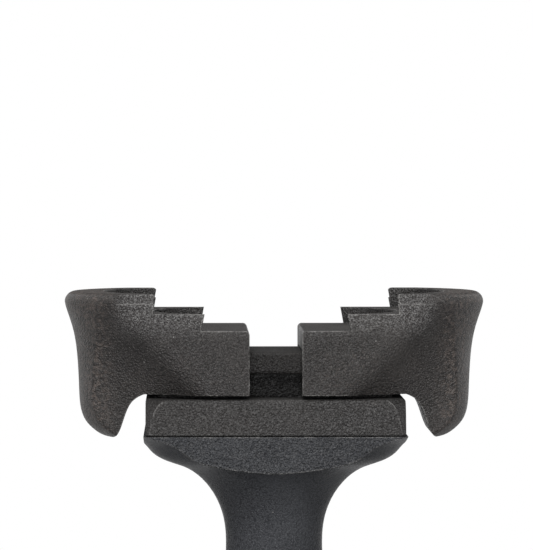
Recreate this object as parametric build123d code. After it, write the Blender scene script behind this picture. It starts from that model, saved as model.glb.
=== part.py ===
from build123d import *
import math
import os

# Miniature painting handle, in millimetres.
# Z is up, X runs along the jaw travel, the front is towards -Y.
# The origin is the centre of the foot pad's underside.

# Overall
grip_height = 75.0      # seat plane of the guide block above the desk
head_half_depth = 9.35  # front and back faces of jaws, guide block and grip flare

# Grip, turned profile as (radius, height below the seat plane)
flare_lip = [(16.4, 0.0), (14.9, 0.62), (13.75, 1.3), (13.05, 2.1), (11.75, 2.95)]
flare_neck = [(9.6, 3.72), (8.1, 4.65), (6.9, 5.9), (5.9, 7.6), (5.28, 9.6), (5.1, 12.0)]
flare_half_width = 13.75
flare_depth = 6.0       # flat sides of the flare, below the seat plane
foot_radius = 12.9
foot_swell = 0.8        # how much wider the grip is just above its foot
foot_round = 0.9
bulb = [(5.75, 18.0), (8.2, 27.0), (12.1, 36.5), (15.3, 46.0), (16.4, 54.0), (15.6, 63.0),
        (foot_radius + foot_swell, 71.0)]
foot_edge = 0.4         # grip's lower rim above the desk
grip_wall = 2.3
hollow_top = 22.0       # top of the hollow, below the seat plane
hollow_top_radius = 2.6
peg_radius = 1.1
peg_length = 2.4
peg_x = 3.6
peg_depth = 17.5        # pegs below the seat plane
fit = 0.05              # gap round parts that are pressed or glued in
end_gap = 0.2           # gap past the end of a peg, stem or screw

# Foot
pad_inset = 1.5         # pad's edge inside the foot's edge
pad_radius = foot_radius - pad_inset
pad_thickness = 1.6
pad_round = 0.35
cap_inset = 1.3
cap_radius = foot_radius - cap_inset
cap_thickness = 2.0
cap_gap = 0.1
cap_ledge = 1.5         # width of the ledge that the cap rests on
foot_screw_inset = 5.7
foot_screw_offset = foot_radius - foot_screw_inset
foot_screw_radius = 0.85
foot_screw_head = 1.75
foot_screw_sink = 0.1   # screw head below the cap's face
foot_screw_length = 7.8
foot_boss_radius = 2.3
foot_boss_height = 7.5
foot_web_half = 0.9
screw_point = 0.9       # length of a screw's point
screw_tip_radius = 0.35
cross_half_width = 0.2
pilot_gap = 0.02

# Guide block, from the seat plane up
block_half_length = 13.53
block_height = 3.85
block_corners = [(0.0, 0.35), (0.65, 0.9), (0.86, 1.35), (1.0, 2.1)]  # (share of the height, corner cut)
block_edge = 0.3
seam_groove = 0.15      # groove round the foot of the block
tenon_half_length = 5.2
tenon_half_width = 4.0
tenon_depth = 2.2
stem_radius = 3.0
stem_depth = 9.0
collar_radius = 4.0
collar_top = 5.4
collar_height = 1.6

# T-rail
rail_half_length = 12.2
rail_neck_half = 5.0
rail_head_half = 6.6
rail_head_foot = 6.35
rail_top = 8.62
rail_edge = 0.35
rail_end_wall = 0.95    # rail left beyond its slots
rail_end_gap = 0.4      # gap past the rail's end inside a jaw
cavity_half_width = 2.6
cavity_roof = 7.4
trough_floor = 2.2
rail_screw_x = 8.0
rail_screw_y = 3.8
rail_screw_radius = 0.8
rail_screw_head = 1.4
rail_screw_sink = 0.3   # screw heads above the seat plane
rail_screw_head_height = 1.1
rail_screw_length = 7.0
rail_screw_gap = 0.1    # gap round a screw where it isn't in its thread

# Jaws, stated for the right-hand jaw at its closed stop
jaw_inner_end = 2.74
jaw_foot = 4.27
lower_floor = 11.0
upper_floor = 12.75
rim_top = 14.85
rim_round = 1.1
front_edge = 0.3        # rounding of the long upper edges
parting_step = 0.07     # the mould's parting line round the rim
inner_edge = 0.45
tab_edge = 0.45         # rounding between the outer end and the scoops
tip_margin = 0.9        # the edges so rounded start no further than this inside the hook's tip
seat_radius = 10.6      # seat wall at its upper edge
seat_undercut = 0.0885  # growth of that radius per millimetre of depth
lower_seat_x = 2.4
upper_seat_x = 7.4
tab_reach = 20.28       # where the head's half depth, turned about the tab's axis, ends
tab_axis_x = tab_reach - head_half_depth  # upright axis that the outer end of the jaw is turned about
running_gap = 0.25
lip_top = 6.1
# Outer end of the jaw, as (radius beyond the head's half depth, height)
tab_line = [(-2.0, -0.28), (-1.05, 0.36), (-0.3, 1.2), (0.11, 2.15), (0.31, 3.4), (0.39, 5.2),
            (0.52, 7.6), (0.85, 10.2), (1.35, 12.0), (1.69, 13.0)]
rim_radius = head_half_depth + 1.87
hook_gap = 0.1          # gap between the hook and the end of the guide block
hook_line = [(14.3, 3.98), (15.0, 3.4), (15.5, 2.52), (15.86, 1.5), (16.2, 0.55), (16.58, -0.12)]
hook_tip = (17.3, -0.48)

# Finger scoops on the front and back of each jaw
scoop_x = 7.6           # a point on the scoop's upper edge
scoop_z = 4.5
scoop_angle = 44.4      # slope of that edge
scoop_start = -0.8
scoop_entry = 6.0       # angle at which the crest leaves the face
scoop_crest = 3.0
scoop_hollow = 12.0
scoop_depth = 4.05

# Spring posts and spring
post_x = 5.2
post_radius = 1.0
post_groove_radius = 0.7
post_groove_height = 0.7
post_foot = 2.9
post_top = 10.3
slot_half_width = 1.2
stop_gap = 0.05
spring_axis = 4.7
spring_mean_radius = 2.0
wire_radius = 0.18
spring_half_body = 2.8
spring_turns = 7
loop_radius = 0.95
wire_reach = 2.5        # wire nearer than this along its length isn't another turn

# Lengths that follow from those above
cap_top = pad_thickness + cap_thickness
slot_inner = post_x - post_radius - stop_gap
slot_outer = rail_half_length - rail_end_wall
cavity_half_length = slot_outer + stop_gap
channel_end = rail_half_length + rail_end_gap
clear = 50.0            # more than any size of the part, for cutting tools


def box(x0, x1, y0, y1, z0, z1):
    """Box between two corners."""
    centre = Pos((x0 + x1) / 2, (y0 + y1) / 2, (z0 + z1) / 2)
    return centre * Box(x1 - x0, y1 - y0, z1 - z0)


def rod(x, y, z0, z1, radius):
    """Upright cylinder between two heights."""
    return Pos(x, y, (z0 + z1) / 2) * Cylinder(radius, z1 - z0)


def turned(lines, axis_x=0.0):
    """Solid turned about an upright axis from lines drawn as (radius, height)."""
    profile = make_face(lines)
    return Pos(axis_x, 0, 0) * revolve(Plane.XZ * profile, Axis.Z, 360)


def up(z):
    """Height above the seat plane as a height above the desk."""
    return grip_height + z


# Grip, before it is split
def grip_solid():
    lip = [(r, up(-d)) for r, d in flare_lip]
    lower = [(r, up(-d)) for r, d in flare_neck + bulb]
    foot_side = (foot_radius, foot_edge + foot_round)
    foot_inner = (foot_radius - foot_round, foot_edge)
    side = Spline(*(lip + lower + [foot_side]))
    corner = RadiusArc(foot_side, foot_inner, foot_round)
    rest = Polyline(foot_inner, (0, foot_edge), (0, up(0)), lip[0])
    body = turned([side, corner, rest])
    prism = box(-flare_half_width, flare_half_width, -head_half_depth, head_half_depth,
                up(-flare_depth), up(1))
    below = box(-clear, clear, -clear, clear, -1, up(-flare_depth))
    return body & (prism + below)


def grip_hollow():
    top = (hollow_top_radius, up(-hollow_top))
    inner = [(r - grip_wall, up(-d)) for r, d in bulb if d > hollow_top]
    ledge = (cap_radius - cap_ledge, cap_top)
    side = Spline(*([top] + inner + [ledge]))
    rest = Polyline(ledge, (0, ledge[1]), (0, top[1]), top)
    recess = rod(0, 0, -1, cap_top, cap_radius + cap_gap)
    return turned([side, rest]) + recess


def stem_socket():
    tenon = box(-tenon_half_length - fit, tenon_half_length + fit, -tenon_half_width - fit,
                tenon_half_width + fit, up(-tenon_depth - end_gap), up(1))
    stem = rod(0, 0, up(-stem_depth - end_gap), up(0), stem_radius + fit)
    collar = rod(0, 0, up(-collar_top - collar_height - fit), up(-collar_top + fit), collar_radius + fit)
    return tenon + stem + collar


def foot_boss(y):
    top = cap_top + foot_boss_height
    outer = math.copysign(clear, y)
    boss = rod(0, y, cap_top, top, foot_boss_radius)
    web = box(-foot_web_half, foot_web_half, min(y, outer), max(y, outer), cap_top, top)
    return boss + web


def peg(x, radius, length):
    return Pos(x, -length / 2, up(-peg_depth)) * Rot(90, 0, 0) * Cylinder(radius, length)


grip = grip_solid()
shell = grip - grip_hollow() - stem_socket()
bosses = (foot_boss(-foot_screw_offset) + foot_boss(foot_screw_offset)) & grip
shell = shell + bosses
pilot_top = pad_thickness + foot_screw_length + end_gap
for y in (-foot_screw_offset, foot_screw_offset):
    shell = shell - rod(0, y, 0, pilot_top, foot_screw_radius + pilot_gap)
grip_front_half = shell & box(-clear, clear, -clear, 0, -1, up(clear))
grip_rear_half = shell & box(-clear, clear, 0, clear, -1, up(clear))
for x in (-peg_x, peg_x):
    grip_front_half = grip_front_half - peg(x, peg_radius + fit, peg_length + end_gap)
    grip_rear_half = grip_rear_half + peg(x, peg_radius, peg_length)

# Foot
foot_pad = rod(0, 0, 0, pad_thickness, pad_radius)
foot_pad = fillet(foot_pad.edges().group_by(Axis.Z)[0], pad_round)
foot_cap = rod(0, 0, pad_thickness, cap_top, cap_radius)


def cross_slot(reach, z0, z1):
    """Tool for the cross in a screw head."""
    w = cross_half_width
    return box(-reach, reach, -w, w, z0, z1) + box(-w, w, -reach, reach, z0, z1)


def countersunk_screw(y):
    face = pad_thickness + foot_screw_sink
    neck = face + foot_screw_head - foot_screw_radius
    tip = pad_thickness + foot_screw_length
    outline = [(0, face), (foot_screw_head, face), (foot_screw_radius, neck),
               (foot_screw_radius, tip - screw_point), (screw_tip_radius, tip), (0, tip)]
    screw = turned([Polyline(*outline, close=True)])
    return Pos(0, y, 0) * (screw - cross_slot(foot_screw_radius, 0, face + foot_screw_radius * 0.7))


def countersink(y):
    wide = foot_screw_head + foot_screw_sink + cap_gap
    narrow = foot_screw_radius + cap_gap
    neck = pad_thickness + wide - narrow
    hole = [(0, 0), (wide, 0), (wide, pad_thickness), (narrow, neck), (narrow, clear), (0, clear)]
    return Pos(0, y, 0) * turned([Polyline(*hole, close=True)])


foot_screws = Compound(children=[countersunk_screw(-foot_screw_offset), countersunk_screw(foot_screw_offset)])
foot_cap = foot_cap - countersink(-foot_screw_offset) - countersink(foot_screw_offset)


# Guide block with its tenon and stem
def cut_corner_rectangle(half_x, half_y, cut, z):
    x = half_x - cut
    y = half_y - cut
    corners = [(x, -half_y), (half_x, -y), (half_x, y), (x, half_y),
               (-x, half_y), (-half_x, y), (-half_x, -y), (-x, -half_y)]
    return Pos(0, 0, z) * make_face(Polyline(*corners, close=True))


foot_cut = block_corners[0][1]
block_sections = [cut_corner_rectangle(block_half_length - seam_groove, head_half_depth - seam_groove,
                                       foot_cut, up(0)).face()]
for share, cut in block_corners:
    z = seam_groove + share * (block_height - seam_groove)
    block_sections.append(cut_corner_rectangle(block_half_length, head_half_depth, cut, up(z)).face())
block = loft(block_sections, ruled=True)
block = fillet(block.edges().group_by(Axis.Z)[-1], block_edge)
tenon = box(-tenon_half_length, tenon_half_length, -tenon_half_width, tenon_half_width,
            up(-tenon_depth), up(trough_floor / 2))
stem = rod(0, 0, up(-stem_depth), up(0), stem_radius)
collar = rod(0, 0, up(-collar_top - collar_height), up(-collar_top), collar_radius)
trough = box(-cavity_half_length, cavity_half_length, -cavity_half_width, cavity_half_width,
             up(trough_floor), up(block_height + 1))
guide_base = block + tenon + stem + collar - trough

# T-rail over the spring cavity
neck = box(-rail_half_length, rail_half_length, -rail_neck_half, rail_neck_half,
           up(block_height), up(rail_top))
head = box(-rail_half_length, rail_half_length, -rail_head_half, rail_head_half,
           up(rail_head_foot), up(rail_top))
head = fillet(head.edges().filter_by(Axis.X), rail_edge)
cavity = box(-cavity_half_length, cavity_half_length, -cavity_half_width, cavity_half_width,
             up(block_height - 1), up(cavity_roof))
slide_rail = neck + head - cavity
slot_ends = (slot_inner + slot_half_width, slot_outer - slot_half_width)
slot = box(slot_ends[0], slot_ends[1], -slot_half_width, slot_half_width,
           up(cavity_roof - 1), up(rail_top + 1))
for x in slot_ends:
    slot = slot + rod(x, 0, up(cavity_roof - 1), up(rail_top + 1), slot_half_width)
slide_rail = slide_rail - slot - mirror(slot, about=Plane.YZ)


# Screws that hold the rail down from under the block
screw_ledge = rail_screw_sink + rail_screw_head_height


def rail_screw(x, y):
    face = up(rail_screw_sink)
    neck = up(screw_ledge)
    tip = up(rail_screw_sink + rail_screw_length)
    outline = [(0, face), (rail_screw_head, face), (rail_screw_head, neck), (rail_screw_radius, neck),
               (rail_screw_radius, tip - screw_point), (screw_tip_radius, tip), (0, tip)]
    screw = turned([Polyline(*outline, close=True)])
    return Pos(x, y, 0) * (screw - cross_slot(rail_screw_radius, up(0), face + rail_screw_head_height / 2))


screw_places = [(sx * rail_screw_x, sy * rail_screw_y) for sx in (-1, 1) for sy in (-1, 1)]
rail_screws = Compound(children=[rail_screw(x, y) for x, y in screw_places])
for x, y in screw_places:
    counterbore = rod(x, y, up(-1), up(screw_ledge), rail_screw_head + rail_screw_gap)
    passage = rod(x, y, up(0), up(block_height + 1), rail_screw_radius + rail_screw_gap)
    thread_top = rail_screw_sink + rail_screw_length + end_gap
    thread = rod(x, y, up(block_height - 1), up(thread_top), rail_screw_radius)
    guide_base = guide_base - counterbore - passage
    slide_rail = slide_rail - thread


# Right-hand jaw
def jaw_outer():
    tip_r = hook_tip[0] - tab_axis_x
    points = [(tip_r, up(hook_tip[1]))] + [(head_half_depth + r, up(z)) for r, z in tab_line]
    brow = (rim_radius, up(rim_top - rim_round))
    crest = (rim_radius - rim_round, up(rim_top))
    side = Spline(*points, brow)
    crown = RadiusArc(brow, crest, -rim_round)
    rest = Polyline(crest, (0, crest[1]), (0, points[0][1]), points[0])
    end = turned([side, crown, rest], tab_axis_x)
    inner = box(jaw_inner_end, tab_axis_x, -clear, clear, up(-clear), up(clear))
    return end + inner


def jaw_front_outline():
    root = (block_half_length + hook_gap, up(jaw_foot))
    tip = (hook_tip[0], up(hook_tip[1]))
    curve = Spline(root, *[(x, up(z)) for x, z in hook_line], tip)
    rest = Polyline(tip, (clear, tip[1]), (clear, up(rim_top)), (jaw_inner_end, up(rim_top)),
                    (jaw_inner_end, up(jaw_foot)), root)
    return extrude(Plane.XZ * make_face([curve, rest]), amount=clear, both=True)


def jaw_side_outline():
    """Cross-section along the jaw, with a parting step and two rounded upper edges."""
    y = head_half_depth
    line = up(rim_top - rim_round)
    y_top = y - parting_step
    z_top = up(rim_top - front_edge)
    left_side = Polyline((-y, up(-clear)), (-y, line), (-y_top, line + parting_step), (-y_top, z_top))
    left_edge = RadiusArc((-y_top, z_top), (-y_top + front_edge, up(rim_top)), front_edge)
    top = Line((-y_top + front_edge, up(rim_top)), (y_top - front_edge, up(rim_top)))
    right_edge = RadiusArc((y_top - front_edge, up(rim_top)), (y_top, z_top), front_edge)
    right_side = Polyline((y_top, z_top), (y_top, line + parting_step), (y, line), (y, up(-clear)),
                          (-y, up(-clear)))
    return extrude(Plane.YZ * make_face([left_side, left_edge, top, right_edge, right_side]), amount=clear)


def seat(x, floor, height):
    """Tool for one round seat, wider at its floor so that its wall overhangs, and open inwards."""
    floor_radius = seat_radius + seat_undercut * height
    top_radius = seat_radius - seat_undercut * height
    round_end = Pos(x, 0, up(floor + height)) * Cone(floor_radius, top_radius, 2 * height)
    return round_end + box(-clear, x, -clear, clear, up(floor), up(clear))


def scoop():
    """Diagonal scoop on the front face: a rounded crest that runs into a wide hollow."""
    turn = math.acos(1 - scoop_depth / (scoop_crest + scoop_hollow))
    first = math.radians(scoop_entry)
    crest_y = head_half_depth - scoop_crest * math.cos(first)
    crest_t = scoop_start - scoop_crest * math.sin(first)

    def crest(angle):
        return (crest_t + scoop_crest * math.sin(angle), crest_y + scoop_crest * math.cos(angle))

    join = crest(turn)
    hollow_t = join[0] + scoop_hollow * math.sin(turn)
    hollow_y = join[1] + scoop_hollow * math.cos(turn)

    def hollow(angle):
        return (hollow_t - scoop_hollow * math.sin(angle), hollow_y - scoop_hollow * math.cos(angle))

    crest_arc = ThreePointArc(crest(first), crest((first + turn) / 2), join)
    hollow_arc = ThreePointArc(join, hollow(turn / 2), hollow(0))
    last = hollow(0)
    rest = Polyline(last, (clear, last[1]), (clear, clear), (crest(first)[0], clear), crest(first))
    slope = math.radians(scoop_angle)
    across = (math.sin(slope), 0, -math.cos(slope))
    along = (-math.cos(slope), 0, -math.sin(slope))
    section = Plane(origin=(scoop_x, 0, up(scoop_z)), x_dir=across, z_dir=along)
    return extrude(section * make_face([crest_arc, hollow_arc, rest]), amount=clear, both=True)


def tab_edges(shape):
    """Edges where the turned outer end of the jaw meets the scoops."""
    found = []
    for edge in shape.edges().filter_by(GeomType.BSPLINE):
        span = edge.bounding_box()
        on_one_side = span.min.Y * span.max.Y > 0
        past_the_tip = span.min.X > hook_tip[0] - tip_margin and span.max.X > hook_tip[0] + tip_margin / 2
        below_the_rim = span.max.Z < up(rim_top - rim_round + fit)
        if on_one_side and past_the_tip and below_the_rim:
            found.append(edge)
    return found


jaw = jaw_outer() & jaw_front_outline() & jaw_side_outline()
front_scoop = scoop()
jaw = jaw - front_scoop - mirror(front_scoop, about=Plane.XZ)
jaw = fillet(tab_edges(jaw), tab_edge)
jaw = jaw - seat(lower_seat_x, lower_floor, upper_floor - lower_floor)
jaw = jaw - seat(upper_seat_x, upper_floor, rim_top - upper_floor)
inner_edges = jaw.edges().filter_by(Axis.Y).group_by(Axis.X)[0].group_by(Axis.Z)[-1]
jaw = fillet(inner_edges, inner_edge)
channel = box(0, channel_end, -rail_head_half - running_gap, rail_head_half + running_gap,
              up(lip_top), up(rail_top + running_gap))
mouth = box(0, channel_end, -rail_neck_half - running_gap, rail_neck_half + running_gap,
            up(jaw_foot - 1), up(rail_top))
jaw = jaw - channel - mouth
post_hole = rod(post_x, 0, up(rail_top), up(post_top + fit), post_radius)
right_jaw = jaw - post_hole
left_jaw = mirror(right_jaw, about=Plane.YZ)

# Spring posts, pressed up into the roof of each jaw
post = rod(post_x, 0, up(post_foot), up(post_top), post_radius)
groove_ends = (up(spring_axis - post_groove_height / 2), up(spring_axis + post_groove_height / 2))
groove = rod(post_x, 0, *groove_ends, 2 * post_radius) - rod(post_x, 0, *groove_ends, post_groove_radius)
right_spring_post = post - groove
left_spring_post = mirror(right_spring_post, about=Plane.YZ)


# Extension spring that ties the two posts together
def arc_middle(start, tangent, end):
    """Middle point of the arc that leaves a point along a direction and ends at another point."""
    chord = end - start
    side_way = tangent - chord * (tangent.dot(chord) / chord.dot(chord))
    if side_way.length < 1e-6:
        return start + chord * 0.5
    lean = math.radians(tangent.get_angle(chord)) / 2
    return start + chord * 0.5 + side_way.normalized() * (chord.length / 2 * math.tan(lean))


def two_arcs(p0, t0, p1, t1):
    """Two arcs that join two points smoothly along given directions."""
    v = p1 - p0
    t = t0 + t1
    spread = 2 * (1 - t0.dot(t1))
    if spread < 1e-9:
        reach = v.dot(v) / (4 * v.dot(t1))
    else:
        reach = (-v.dot(t) + math.sqrt(v.dot(t) ** 2 + spread * v.dot(v))) / spread
    joint = (p0 + p1 + (t0 - t1) * reach) * 0.5
    first = ThreePointArc(p0, arc_middle(p0, t0, joint), joint)
    second = ThreePointArc(joint, arc_middle(p1, t1 * -1, joint), p1)
    return [first, second]


def half_spring_path():
    """Points along the wire with their directions, from the left loop to the middle of the spring."""
    z0 = up(spring_axis)
    stations = []

    def add(x, y, z, dx, dy, dz):
        stations.append((Vector(x, y, z), Vector(dx, dy, dz).normalized()))

    for quarter in (1.5, 2, 3, 4):
        a = math.pi / 2 * quarter
        add(-post_x + loop_radius * math.sin(a), loop_radius * math.cos(a), z0, math.cos(a), -math.sin(a), 0)
    pitch = 2 * spring_half_body / spring_turns
    for i in range(spring_turns * 2 + 1):
        a = math.pi / 2 * i
        x = -spring_half_body + pitch * i / 4
        add(x, spring_mean_radius * math.cos(a), z0 + spring_mean_radius * math.sin(a),
            pitch / (2 * math.pi), -spring_mean_radius * math.sin(a), spring_mean_radius * math.cos(a))
    return stations


def least_gap(edges):
    """Least clear distance between turns of the wire, measured on points."""
    points = []
    for edge in edges:
        for k in range(6):
            points.append(edge.position_at(k / 6))
    lengths = [0.0]
    for a, b in zip(points, points[1:]):
        lengths.append(lengths[-1] + (b - a).length)
    gap = 1e9
    for i in range(len(points)):
        for j in range(i + 1, len(points)):
            if lengths[j] - lengths[i] > wire_reach:
                gap = min(gap, (points[i] - points[j]).length)
    return gap - 2 * wire_radius


wire_stations = half_spring_path()
wire_edges = []
for (p0, t0), (p1, t1) in zip(wire_stations, wire_stations[1:]):
    for piece in two_arcs(p0, t0, p1, t1):
        wire_edges.append(piece.edge())
start_plane = Plane(origin=wire_stations[0][0], z_dir=wire_stations[0][1])
half_spring = sweep(start_plane * Circle(wire_radius), path=Wire(wire_edges))
about_middle = Pos(0, 0, up(spring_axis)) * Rot(0, 180, 0) * Pos(0, 0, -up(spring_axis))
clamp_spring = half_spring + about_middle * half_spring
print("least gap in the spring", round(least_gap(wire_edges), 3))

parts = {
    "grip_front_half": grip_front_half,
    "grip_rear_half": grip_rear_half,
    "foot_cap": foot_cap,
    "foot_screws": foot_screws,
    "foot_pad": foot_pad,
    "guide_base": guide_base,
    "slide_rail": slide_rail,
    "rail_screws": rail_screws,
    "left_jaw": left_jaw,
    "right_jaw": right_jaw,
    "left_spring_post": left_spring_post,
    "right_spring_post": right_spring_post,
    "clamp_spring": clamp_spring,
}

os.makedirs("parts", exist_ok=True)
for name, shape in parts.items():
    shape.label = name
    export_step(shape, "parts/" + name + ".step")
    print(name, len(shape.solids()), round(shape.volume, 2), shape.is_valid)
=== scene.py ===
"""Looks of the miniature painting handle: materials, spring halves, studio and camera."""

import bmesh
import bpy
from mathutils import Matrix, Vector


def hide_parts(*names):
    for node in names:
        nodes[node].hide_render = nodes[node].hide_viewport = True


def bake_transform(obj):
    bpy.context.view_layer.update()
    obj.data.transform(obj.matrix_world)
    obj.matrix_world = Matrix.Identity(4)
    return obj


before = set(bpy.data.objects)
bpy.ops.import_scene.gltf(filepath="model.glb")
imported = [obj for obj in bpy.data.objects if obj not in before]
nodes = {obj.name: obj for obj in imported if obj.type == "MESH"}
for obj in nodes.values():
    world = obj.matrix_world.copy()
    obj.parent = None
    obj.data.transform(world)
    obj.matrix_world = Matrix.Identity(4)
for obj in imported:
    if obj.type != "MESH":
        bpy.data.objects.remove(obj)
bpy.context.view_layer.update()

MM = 0.001

# Places on the part: heights from the floor, and distances from the middle.
SEAT_HEIGHT = 75 * MM                     # top of the grip, which the block stands on
FOOT_SHADE_TOP = SEAT_HEIGHT + 0.26 * MM       # top of the painted shade in the gap at the foot of the block
RAIL_HEAD_FOOT = SEAT_HEIGHT + 6.35 * MM  # underside of the rail's head
STEP_FOOT = SEAT_HEIGHT + 9.6 * MM        # lower end of the painted glint on the step faces
FLAT_FOOT = SEAT_HEIGHT - 7 * MM          # lower end of the flats on the flare
FLARE_FACE = 9.35 * MM                    # those flats, to the front and back
STEP_END = 15 * MM                        # outer end of the step faces
TAB_START = 16 * MM                       # inner end of the tabs that fingers pull

# Camera: place, aim and lens in pixels of the 550 pixel high frame.
CAMERA_PLACE = Vector((-8.9 * MM, -400 * MM, SEAT_HEIGHT + 29.7 * MM))
CAMERA_AIM = Vector((-0.8 * MM, 0, SEAT_HEIGHT + 16.5 * MM))
FRAME_HEIGHT = 550
LENS_PIXELS = 3780
SENSOR = 36

# Dirt, wear, dark seams, painted shade and painted glints on the mouldings.
DUST = (0.32, 0.31, 0.3, 1)
SHADE_AND_SEAM = (0.002, 0.002, 0.002, 1)
GLINT = (0.34, 0.335, 0.33, 1)
SHADE_FADE = 0.08 * MM
HANDLED_FADE = 3 * MM
STEP_FADE = 3 * MM     # upwards
STEP_END_FADE = 2.5 * MM
SEAM_CORE = 0.4        # fully dark share of a seam's width
FLAT_GLINT = 0.35
CREST_SIZE = 0.62      # of the grain
CREST_RELIEF = 0.5     # of the grain's relief
ROUGH_SPAN = 0.07      # either side of the mean roughness
EDGE_GLOSS = 0.12      # roughness that worn edges have lost
TOP_ROUGHNESS = 0.95   # on level tops

# Studio: light level, floor and background.
WHITE = (1, 1, 1, 1)
AMBIENT = (0.1, 0.101, 0.104, 1)
FLOOR_RADIUS = 0.5
FLOOR_FADE = (0.12, 0.48)
FLOOR_COLOUR = (0.68, 0.68, 0.68, 1)
FLOOR_BOUNCE = (0.1, 0.1, 0.1, 1)
LAMP_AIM = (0, 0, SEAT_HEIGHT)


def add(tree, kind, inputs=None, **settings):
    """A new node with its settings, and with values or links on its inputs."""
    made = tree.nodes.new(kind)
    for name, value in settings.items():
        setattr(made, name, value)
    for name, value in (inputs or {}).items():
        socket = made.inputs[name]
        if isinstance(value, bpy.types.NodeSocket):
            tree.links.new(value, socket)
        else:
            socket.default_value = value
    return made


def maths(tree, operation, first, second=0.0):
    """Result of a Math node."""
    return add(tree, "ShaderNodeMath", {0: first, 1: second}, operation=operation).outputs[0]


def times(tree, first, second):
    return maths(tree, "MULTIPLY", first, second)


def spread(tree, value, low, high, start=0.0, end=1.0):
    """Value between low and high, eased to start and end."""
    made = add(
        tree,
        "ShaderNodeMapRange",
        {"Value": value, "From Min": low, "From Max": high, "To Min": start, "To Max": end},
        interpolation_type="SMOOTHSTEP",
    )
    return made.outputs["Result"]


def noise(tree, place, size, detail=2.0, roughness=0.5):
    """Grey noise whose lumps are about that size in metres."""
    made = add(
        tree,
        "ShaderNodeTexNoise",
        {"Vector": place, "Scale": 1 / size, "Detail": detail, "Roughness": roughness},
    )
    return made.outputs["Fac"]


def blotches(tree, place, size, low, high, detail=2.0, roughness=0.5):
    """That noise, 0 where it is under low and 1 where it is over high."""
    return spread(tree, noise(tree, place, size, detail, roughness), low, high)


def peel(tree, place, size):
    """Small rounded lumps side by side, high in their middles, about that size in metres."""
    made = add(
        tree,
        "ShaderNodeTexVoronoi",
        {"Vector": place, "Scale": 1 / size, "Smoothness": 0.5},
        feature="SMOOTH_F1",
    )
    return maths(tree, "SUBTRACT", 1.0, made.outputs["Distance"])


def colour_mix(tree, share, first, second):
    """First colour where the share is 0, second where it is 1."""
    made = add(
        tree,
        "ShaderNodeMix",
        {"Factor": share, "A": first, "B": second},
        data_type="RGBA",
    )
    return made.outputs[2]


def lay(tree, under, over, mask, strength):
    """Colour over another where the mask is, by that strength."""
    return colour_mix(tree, times(tree, mask, strength), under, over)


def start_material(name):
    """A new material, its nodes, its shader and the place on the part."""
    material = bpy.data.materials.new(name)
    material.use_nodes = True
    tree = material.node_tree
    place = add(tree, "ShaderNodeTexCoord").outputs["Object"]
    return material, tree, tree.nodes["Principled BSDF"], place


def edge_share(tree, radius):
    """Near 1 along the sharp edges, 0 on flat and gently curved skin. Also the softened normal."""
    soft = add(tree, "ShaderNodeBevel", {"Radius": radius}, samples=6).outputs["Normal"]
    skin = add(tree, "ShaderNodeNewGeometry").outputs["Normal"]
    match = add(tree, "ShaderNodeVectorMath", {0: soft, 1: skin}, operation="DOT_PRODUCT")
    return spread(tree, match.outputs["Value"], low=0.995, high=0.86), soft


def self_shade_share(tree, reach):
    """Near 1 deep in the inner corners of a piece, where it shades itself, 0 on its open skin. Used
    for painted shade.
    """
    made = add(tree, "ShaderNodeAmbientOcclusion", {"Distance": reach}, samples=4, only_local=True)
    return spread(tree, made.outputs["AO"], low=0.8, high=0.35)


def dust_share(tree, place, cell, dot):
    """Sparse ragged specks: a dot in some cells of a loose grid."""
    bent = add(tree, "ShaderNodeTexNoise", {"Vector": place, "Scale": 1 / dot, "Detail": 1.0})
    moved = add(
        tree, "ShaderNodeVectorMath", {0: bent.outputs["Color"], "Scale": 0.9 * dot}, operation="SCALE"
    )
    ragged = add(
        tree, "ShaderNodeVectorMath", {0: place, 1: moved.outputs["Vector"]}, operation="ADD"
    )
    cells = add(
        tree, "ShaderNodeTexVoronoi", {"Vector": ragged.outputs["Vector"], "Scale": 1 / cell}
    )
    near = spread(tree, cells.outputs["Distance"], low=dot / cell, high=0.4 * dot / cell)
    chance = add(tree, "ShaderNodeSeparateColor", {"Color": cells.outputs["Color"]}).outputs[0]
    return times(tree, near, spread(tree, chance, low=0.72, high=0.8))


def flat_share(tree, away, height):
    """1 on the front and back flats of the flare."""
    return times(
        tree,
        spread(tree, away, FLARE_FACE - 0.3 * MM, FLARE_FACE - 0.05 * MM),
        spread(tree, height, FLAT_FOOT, FLAT_FOOT + 0.5 * MM),
    )


def step_share(tree, out, height, fronting, foot):
    """1 on the front and back step faces of the jaws, over the foot."""
    inside = spread(tree, out, STEP_END + STEP_END_FADE, STEP_END)
    return times(
        tree,
        spread(tree, height, foot, foot + STEP_FADE),
        times(tree, inside, spread(tree, fronting, low=0.5, high=0.8)),
    )


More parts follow.
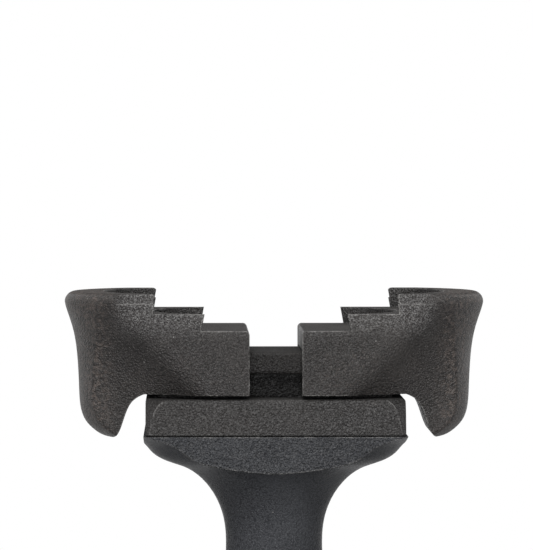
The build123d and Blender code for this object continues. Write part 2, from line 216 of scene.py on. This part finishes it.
def moulded_plastic(
    name, skin, dark, pale, scuff, grain, relief, rough, shine,
    flat_relief=None, handled_from=None, glint_above=None, glint_share=None, painted_shade_below=None,
    seam_width=None,
):
    """Spark-eroded moulding: fine pits, pale crests, scuffs, specks, worn edges, painted shade in
    inner corners.

    Where flat_relief is given, the flats of the flare have that deeper grain and a painted glint.
    Further out than handled_from, fingers have rubbed the skin pale. Higher than glint_above,
    the crests of the step faces get a painted glint, and glint_share paints it all over, by its
    share. Lower than painted_shade_below the skin is painted dark as shade, and a dark seam,
    seam_width to each side, runs round the middle."""
    material, tree, shader, place = start_material(name)
    across = add(tree, "ShaderNodeSeparateXYZ", {"Vector": place}).outputs
    out = maths(tree, "ABSOLUTE", across["X"])
    away = maths(tree, "ABSOLUTE", across["Y"])
    height = across["Z"]
    normal = add(tree, "ShaderNodeTexCoord").outputs["Normal"]
    facing = add(tree, "ShaderNodeSeparateXYZ", {"Vector": normal}).outputs

    pits = peel(tree, place, grain)
    crests = noise(tree, place, CREST_SIZE * grain, detail=1.0)
    patches = noise(tree, place, size=5.5 * MM, detail=4.0)
    edges, soft = edge_share(tree, radius=0.28 * MM)
    worn = times(tree, edges, blotches(tree, place, 1.6 * MM, low=0.32, high=0.62, detail=4.0))
    scuffed = times(
        tree,
        blotches(tree, place, 7.0 * MM, low=0.5, high=0.7),
        blotches(tree, place, 0.22 * MM, low=0.5, high=0.75, detail=3.0),
    )

    tone = colour_mix(tree, spread(tree, pits, low=0.3, high=0.62), dark, skin)
    tone = lay(tree, tone, pale, spread(tree, crests, low=0.56, high=0.74), strength=0.62)
    tone = lay(tree, tone, pale, spread(tree, patches, low=0.35, high=0.75), strength=0.15)
    tone = lay(tree, tone, scuff, scuffed, strength=0.22)
    tone = lay(tree, tone, DUST, worn, strength=0.6)
    # Painted shade: inner corners are darkened where the piece shades itself.
    tone = lay(tree, tone, SHADE_AND_SEAM, self_shade_share(tree, reach=2.2 * MM), strength=0.8)
    depth = relief
    glinting = glint_share
    if glint_above:
        fronting = maths(tree, "ABSOLUTE", facing["Y"])
        glinting = step_share(tree, out, height, fronting, glint_above)
    if flat_relief:
        flat = flat_share(tree, away, height)
        glinting = times(tree, flat, FLAT_GLINT)
        depth = spread(tree, flat, low=0.0, high=1.0, start=relief, end=flat_relief)
    # Painted glint: pale bright crests that stand for light catching the grain.
    if glinting is not None:
        bright = times(tree, glinting, blotches(tree, place, 0.15 * MM, low=0.42, high=0.7))
        tone = lay(tree, tone, GLINT, bright, strength=0.4)
    if handled_from:
        handled = times(
            tree,
            spread(tree, out, handled_from, handled_from + HANDLED_FADE),
            blotches(tree, place, 0.4 * MM, low=0.42, high=0.7, detail=5.0, roughness=0.65),
        )
        tone = lay(tree, tone, scuff, handled, strength=0.68)
    # Painted shade: the skin below that height is darkened, where it lies in shade.
    if painted_shade_below:
        shaded = spread(tree, height, painted_shade_below, painted_shade_below - SHADE_FADE)
        tone = lay(tree, tone, SHADE_AND_SEAM, shaded, strength=0.85)
    if seam_width:
        seam = spread(tree, away, seam_width, SEAM_CORE * seam_width)
        tone = lay(tree, tone, SHADE_AND_SEAM, seam, strength=0.8)
    dusty = dust_share(tree, place, cell=1.5 * MM, dot=0.09 * MM)
    tone = lay(tree, tone, DUST, dusty, strength=0.8)
    tree.links.new(tone, shader.inputs["Base Color"])

    dull = spread(tree, patches, 0.25, 0.75, start=rough - ROUGH_SPAN, end=rough + ROUGH_SPAN)
    gloss = maths(tree, "SUBTRACT", dull, times(tree, worn, EDGE_GLOSS))
    level = spread(tree, facing["Z"], low=0.7, high=0.97, start=gloss, end=TOP_ROUGHNESS)
    tree.links.new(level, shader.inputs["Roughness"])
    shader.inputs["Specular IOR Level"].default_value = shine

    coarse = add(tree, "ShaderNodeBump", {"Height": pits, "Distance": depth, "Normal": soft})
    fine = add(
        tree,
        "ShaderNodeBump",
        {"Height": crests, "Distance": CREST_RELIEF * relief, "Normal": coarse.outputs["Normal"]},
    )
    tree.links.new(fine.outputs["Normal"], shader.inputs["Normal"])
    return material


def rubber(name, skin, pale):
    """Soft matt pad: dusty, with a faint grain."""
    material, tree, shader, place = start_material(name)
    dust = noise(tree, place, size=2.4 * MM, detail=5.0)
    grain = noise(tree, place, size=0.18 * MM)
    tone = lay(tree, skin, pale, spread(tree, dust, low=0.4, high=0.8), strength=0.5)
    tree.links.new(tone, shader.inputs["Base Color"])
    dull = spread(tree, dust, low=0.2, high=0.8, start=0.72, end=0.9)
    tree.links.new(dull, shader.inputs["Roughness"])
    bump = add(tree, "ShaderNodeBump", {"Height": grain, "Distance": 0.02 * MM})
    tree.links.new(bump.outputs["Normal"], shader.inputs["Normal"])
    return material


def steel(name, skin, dark):
    """Bright drawn steel with fine scratches and dull specks."""
    material, tree, shader, place = start_material(name)
    drawn = add(tree, "ShaderNodeMapping", {"Vector": place, "Scale": (1, 1, 9)})
    lines = noise(tree, drawn.outputs["Vector"], size=0.25 * MM, detail=4.0)
    specks = blotches(tree, place, 0.8 * MM, low=0.5, high=0.75, detail=3.0)
    tone = lay(tree, skin, dark, specks, strength=0.6)
    tree.links.new(tone, shader.inputs["Base Color"])
    dull = spread(tree, lines, low=0.3, high=0.7, start=0.22, end=0.42)
    tree.links.new(dull, shader.inputs["Roughness"])
    shader.inputs["Metallic"].default_value = 1.0
    bump = add(tree, "ShaderNodeBump", {"Height": lines, "Distance": 0.004 * MM})
    tree.links.new(bump.outputs["Normal"], shader.inputs["Normal"])
    return material


def dress(material, *names):
    """Give the named nodes that one material."""
    for name in names:
        nodes[name].data.materials.clear()
        nodes[name].data.materials.append(material)


head_look = {
    "skin": (0.0235, 0.0215, 0.0208, 1),
    "dark": (0.0115, 0.0105, 0.0101, 1),
    "pale": (0.09, 0.083, 0.078, 1),
    "scuff": (0.125, 0.102, 0.09, 1),
    "grain": 0.2 * MM,
    "relief": 0.13 * MM,
    "rough": 0.42,
    "shine": 0.22,
}
# Darker than the jaws' colours, under the painted glint that the block gets all over.
block_look = {
    **head_look,
    "skin": (0.014, 0.0128, 0.0124, 1),
    "dark": (0.007, 0.0064, 0.0061, 1),
    "pale": (0.05, 0.046, 0.043, 1),
}
# A darker copy of the head's colours: painted shade on the rail, which sits in shade between the jaws.
shaded_rail_look = {
    **head_look,
    "skin": (0.012, 0.011, 0.0107, 1),
    "dark": (0.006, 0.0055, 0.0053, 1),
    "pale": (0.05, 0.046, 0.043, 1),
    "scuff": (0.08, 0.07, 0.064, 1),
    "rough": 0.46,
    "shine": 0.16,
}
grip_look = {
    "skin": (0.051, 0.0527, 0.0573, 1),
    "dark": (0.03, 0.031, 0.0341, 1),
    "pale": (0.125, 0.129, 0.138, 1),
    "scuff": (0.09, 0.093, 0.098, 1),
    "grain": 0.19 * MM,
    "relief": 0.085 * MM,
    "rough": 0.31,
    "shine": 0.022,
}
# Painted glint on the jaws' step faces; their tabs are worn pale by fingers.
jaw_plastic = moulded_plastic(
    "jaw_plastic", **head_look, handled_from=TAB_START, glint_above=STEP_FOOT
)
# The block: painted shade in the gap at its foot, and a painted glint all over.
block_plastic = moulded_plastic("block_plastic", **block_look, glint_share=0.35, painted_shade_below=FOOT_SHADE_TOP)
# The rail's web, under the rail's head, is painted darker still as shade.
shaded_rail_plastic = moulded_plastic("shaded_rail_plastic", **shaded_rail_look, painted_shade_below=RAIL_HEAD_FOOT)
# Painted glint on the flats of the grip's flare.
grip_plastic = moulded_plastic(
    "grip_plastic", **grip_look, flat_relief=0.3 * MM, seam_width=0.13 * MM
)
pad_rubber = rubber("pad_rubber", skin=(0.018, 0.018, 0.019, 1), pale=(0.06, 0.058, 0.055, 1))
plain_steel = steel("plain_steel", skin=(0.6, 0.6, 0.61, 1), dark=(0.34, 0.33, 0.33, 1))

dress(jaw_plastic, "left_jaw", "right_jaw")
dress(block_plastic, "guide_base")
dress(shaded_rail_plastic, "slide_rail")
dress(grip_plastic, "grip_front_half", "grip_rear_half", "foot_cap")
dress(pad_rubber, "foot_pad")
dress(plain_steel, "rail_screws", "foot_screws")
dress(plain_steel, "left_spring_post", "right_spring_post", "clamp_spring")


def spring_half(name, side):
    """Half of the clamp spring, which stretches from the middle of the rail out to its post."""
    mesh = nodes["clamp_spring"].data.copy()
    shape = bmesh.new()
    shape.from_mesh(mesh)
    bmesh.ops.remove_doubles(shape, verts=shape.verts, dist=0.001 * MM)
    bmesh.ops.bisect_plane(
        shape,
        geom=shape.verts[:] + shape.edges[:] + shape.faces[:],
        plane_co=(0, 0, 0),
        plane_no=(-side, 0, 0),
        clear_outer=True,
    )
    bmesh.ops.holes_fill(shape, edges=shape.edges[:], sides=0)
    for face in shape.faces:
        face.smooth = True
    shape.to_mesh(mesh)
    shape.free()
    half = bpy.data.objects.new(name, mesh)
    bpy.context.scene.collection.objects.link(half)
    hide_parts("clamp_spring")
    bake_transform(half)


spring_half("left_spring_half", -1)
spring_half("right_spring_half", 1)


def seen_mix(tree, unseen, seen):
    """Seen shader for camera, glossy and transmitted rays, unseen for the rest."""
    path = add(tree, "ShaderNodeLightPath").outputs
    share = path["Is Camera Ray"]
    for kind in ("Is Glossy Ray", "Is Transmission Ray"):
        share = maths(tree, "MAXIMUM", share, path[kind])
    return add(tree, "ShaderNodeMixShader", {0: share, 1: unseen, 2: seen}).outputs[0]


def make_world():
    """Soft even light from a background that is itself seen as white."""
    world = bpy.data.worlds.new("studio")
    world.use_nodes = True
    tree = world.node_tree
    tree.nodes.clear()
    ambient = add(tree, "ShaderNodeBackground", {"Color": AMBIENT, "Strength": 1.0}).outputs[0]
    white = add(tree, "ShaderNodeBackground", {"Color": WHITE, "Strength": 1.0}).outputs[0]
    output = add(tree, "ShaderNodeOutputWorld")
    tree.links.new(seen_mix(tree, ambient, white), output.inputs["Surface"])
    bpy.context.scene.world = world


def make_floor():
    """Round pale floor that fades into the white background at its edge."""
    bpy.ops.mesh.primitive_circle_add(vertices=128, radius=FLOOR_RADIUS, fill_type="NGON")
    floor = bpy.context.object
    floor.name = "floor"
    material = bpy.data.materials.new("floor")
    material.use_nodes = True
    tree = material.node_tree
    tree.nodes.clear()
    place = add(tree, "ShaderNodeTexCoord").outputs["Object"]
    reach = add(tree, "ShaderNodeVectorMath", {0: place}, operation="LENGTH").outputs["Value"]
    far = spread(tree, reach, *FLOOR_FADE)
    pale = add(tree, "ShaderNodeBsdfDiffuse", {"Color": FLOOR_COLOUR}).outputs[0]
    white = add(tree, "ShaderNodeEmission", {"Color": WHITE, "Strength": 1.0}).outputs[0]
    bounce = add(tree, "ShaderNodeBsdfDiffuse", {"Color": FLOOR_BOUNCE}).outputs[0]
    faded = add(tree, "ShaderNodeMixShader", {0: far, 1: pale, 2: white}).outputs[0]
    output = add(tree, "ShaderNodeOutputMaterial")
    tree.links.new(seen_mix(tree, bounce, faded), output.inputs["Surface"])
    floor.data.materials.append(material)


def make_lamp(name, place, size, power, glint=True):
    """Square lamp aimed at the head, in metres and watts. Without glint, gloss doesn't show it."""
    lamp = bpy.data.lights.new(name, "AREA")
    lamp.size = size
    lamp.energy = power
    made = bpy.data.objects.new(name, lamp)
    made.location = place
    made.rotation_euler = (Vector(LAMP_AIM) - Vector(place)).to_track_quat("-Z", "Y").to_euler()
    made.visible_glossy = glint
    bpy.context.scene.collection.objects.link(made)


def make_camera():
    """Camera at the photograph's viewing angle."""
    lens = bpy.data.cameras.new("camera")
    lens.sensor_fit = "AUTO"
    lens.sensor_width = SENSOR
    lens.lens = LENS_PIXELS / FRAME_HEIGHT * SENSOR
    lens.clip_start = 0.01
    lens.clip_end = 20
    camera = bpy.data.objects.new("camera", lens)
    camera.location = CAMERA_PLACE
    camera.rotation_euler = (CAMERA_AIM - CAMERA_PLACE).to_track_quat("-Z", "Y").to_euler()
    bpy.context.scene.collection.objects.link(camera)
    bpy.context.scene.camera = camera


make_world()
make_floor()
make_lamp("top_lamp", (0.0, 0.05, 0.65), size=0.4, power=1.8)
make_lamp("front_lamp", (-0.1, -0.55, 0.6), size=0.3, power=3.6)
make_lamp("back_lamp", (0.1, 0.7, 0.4), size=0.6, power=2.2, glint=False)
make_lamp("low_lamp", (0.0, -0.75, 0.03), size=0.25, power=5.2)
make_camera()
bpy.context.scene.view_settings.view_transform = "Standard"
